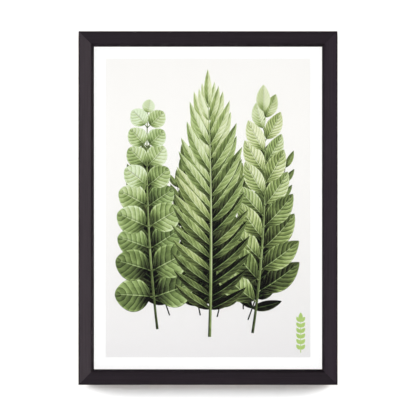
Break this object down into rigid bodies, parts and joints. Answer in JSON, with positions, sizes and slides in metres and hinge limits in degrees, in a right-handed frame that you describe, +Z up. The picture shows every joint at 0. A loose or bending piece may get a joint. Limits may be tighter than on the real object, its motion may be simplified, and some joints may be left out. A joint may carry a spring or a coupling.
{
  "type": "framed print",
  "caption": "Slim black mitred picture frame, portrait, with glazing over a white-bordered botanical print; hardboard back held by turn buttons, sawtooth hanger.",
  "frame": {"origin": "the hanging point: the apex of the sawtooth hanger's middle notch, on the plane of the wall that the frame hangs on", "axes": "+Z up the picture, +Y from the picture towards the wall, so the picture faces -Y, and +X to the viewer's right"},
  "size_m": [0.337, 0.02, 0.46],
  "materials": {
    "black_moulding": "black stain, satin, with a fine lengthwise grain",
    "clear_glazing": "clear and smooth",
    "poster_paper": "matt coated paper with a printed botanical plate",
    "grey_card": "uncoated grey board",
    "hardboard": "pressed brown hardboard, fibrous",
    "zinc_plated_steel": "bright zinc plate",
    "blued_steel": "dark rolled steel strip",
    "bumper_rubber": "matt black rubber"
  },
  "bodies": {
    "frame": {"rail_top": "black_moulding", "rail_bottom": "black_moulding", "rail_left": "black_moulding", "rail_right": "black_moulding", "glazing": "clear_glazing", "print_sheet": "poster_paper", "filler_card": "grey_card", "backing_board": "hardboard", "corner_fastener_1": "blued_steel", "corner_fastener_2": "blued_steel", "corner_fastener_3": "blued_steel", "corner_fastener_4": "blued_steel", "corner_fastener_5": "blued_steel", "corner_fastener_6": "blued_steel", "corner_fastener_7": "blued_steel", "corner_fastener_8": "blued_steel", "button_screw_1": "zinc_plated_steel", "button_screw_2": "zinc_plated_steel", "button_screw_3": "zinc_plated_steel", "button_screw_4": "zinc_plated_steel", "button_screw_5": "zinc_plated_steel", "button_screw_6": "zinc_plated_steel", "button_screw_7": "zinc_plated_steel", "button_screw_8": "zinc_plated_steel", "sawtooth_hanger": "blued_steel", "hanger_nail_left": "blued_steel", "hanger_nail_right": "blued_steel", "bumper_left": "bumper_rubber", "bumper_right": "bumper_rubber"},
    "button_1": {"turn_button_1": "zinc_plated_steel"},
    "button_2": {"turn_button_2": "zinc_plated_steel"},
    "button_3": {"turn_button_3": "zinc_plated_steel"},
    "button_4": {"turn_button_4": "zinc_plated_steel"},
    "button_5": {"turn_button_5": "zinc_plated_steel"},
    "button_6": {"turn_button_6": "zinc_plated_steel"},
    "button_7": {"turn_button_7": "zinc_plated_steel"},
    "button_8": {"turn_button_8": "zinc_plated_steel"}
  },
  "joints": [
    {"name": "button_1_swivel", "type": "hinge", "parent": "frame", "child": "button_1", "pos_m": [-0.09099, -0.0031, -0.441], "axis": [0, 1, 0], "continuous": true},
    {"name": "button_2_swivel", "type": "hinge", "parent": "frame", "child": "button_2", "pos_m": [0.09099, -0.0031, -0.441], "axis": [0, 1, 0], "continuous": true},
    {"name": "button_3_swivel", "type": "hinge", "parent": "frame", "child": "button_3", "pos_m": [0.16, -0.0031, -0.3437], "axis": [0, 1, 0], "continuous": true},
    {"name": "button_4_swivel", "type": "hinge", "parent": "frame", "child": "button_4", "pos_m": [0.16, -0.0031, -0.0953], "axis": [0, 1, 0], "continuous": true},
    {"name": "button_5_swivel", "type": "hinge", "parent": "frame", "child": "button_5", "pos_m": [0.09099, -0.0031, 0.002], "axis": [0, 1, 0], "continuous": true},
    {"name": "button_6_swivel", "type": "hinge", "parent": "frame", "child": "button_6", "pos_m": [-0.09099, -0.0031, 0.002], "axis": [0, 1, 0], "continuous": true},
    {"name": "button_7_swivel", "type": "hinge", "parent": "frame", "child": "button_7", "pos_m": [-0.16, -0.0031, -0.0953], "axis": [0, 1, 0], "continuous": true},
    {"name": "button_8_swivel", "type": "hinge", "parent": "frame", "child": "button_8", "pos_m": [-0.16, -0.0031, -0.3437], "axis": [0, 1, 0], "continuous": true}
  ]
}
